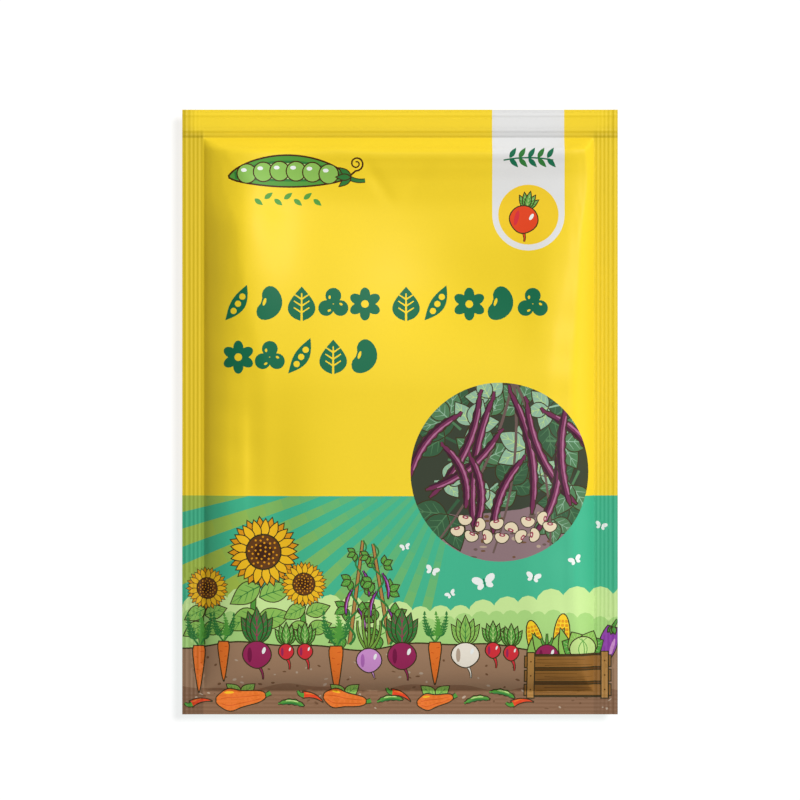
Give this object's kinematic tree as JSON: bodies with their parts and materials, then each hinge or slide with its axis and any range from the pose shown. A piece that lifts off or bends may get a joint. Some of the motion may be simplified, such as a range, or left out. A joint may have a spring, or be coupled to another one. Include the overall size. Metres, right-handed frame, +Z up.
{
  "type": "seed packet",
  "caption": "Flat film seed packet, heat sealed on four sides and bulged between, with loose dry cowpeas inside, lying on its back.",
  "frame": {"origin": "centre of the packet's outline, on the surface that its back lies on", "axes": "+Y towards the packet's top edge, +X to the right as its front is seen, +Z up, out of the printed front"},
  "size_m": [0.13, 0.1806, 0.017],
  "materials": {
    "front_print": "satin",
    "back_print": "satin",
    "pea_skin": "satin"
  },
  "bodies": {
    "root": {"front_film": "front_print", "back_film": "back_print", "pea_01": "pea_skin", "pea_02": "pea_skin", "pea_03": "pea_skin", "pea_04": "pea_skin", "pea_05": "pea_skin", "pea_06": "pea_skin", "pea_07": "pea_skin", "pea_08": "pea_skin", "pea_09": "pea_skin", "pea_10": "pea_skin", "pea_11": "pea_skin", "pea_12": "pea_skin", "pea_13": "pea_skin", "pea_14": "pea_skin", "pea_15": "pea_skin", "pea_16": "pea_skin", "pea_17": "pea_skin", "pea_18": "pea_skin", "pea_19": "pea_skin", "pea_20": "pea_skin", "pea_21": "pea_skin", "pea_22": "pea_skin", "pea_23": "pea_skin", "pea_24": "pea_skin", "pea_25": "pea_skin", "pea_26": "pea_skin", "pea_27": "pea_skin", "pea_28": "pea_skin", "pea_29": "pea_skin", "pea_30": "pea_skin", "pea_31": "pea_skin", "pea_32": "pea_skin", "pea_33": "pea_skin", "pea_34": "pea_skin", "pea_35": "pea_skin", "pea_36": "pea_skin", "pea_37": "pea_skin", "pea_38": "pea_skin", "pea_39": "pea_skin", "pea_40": "pea_skin"}
  },
  "joints": []
}
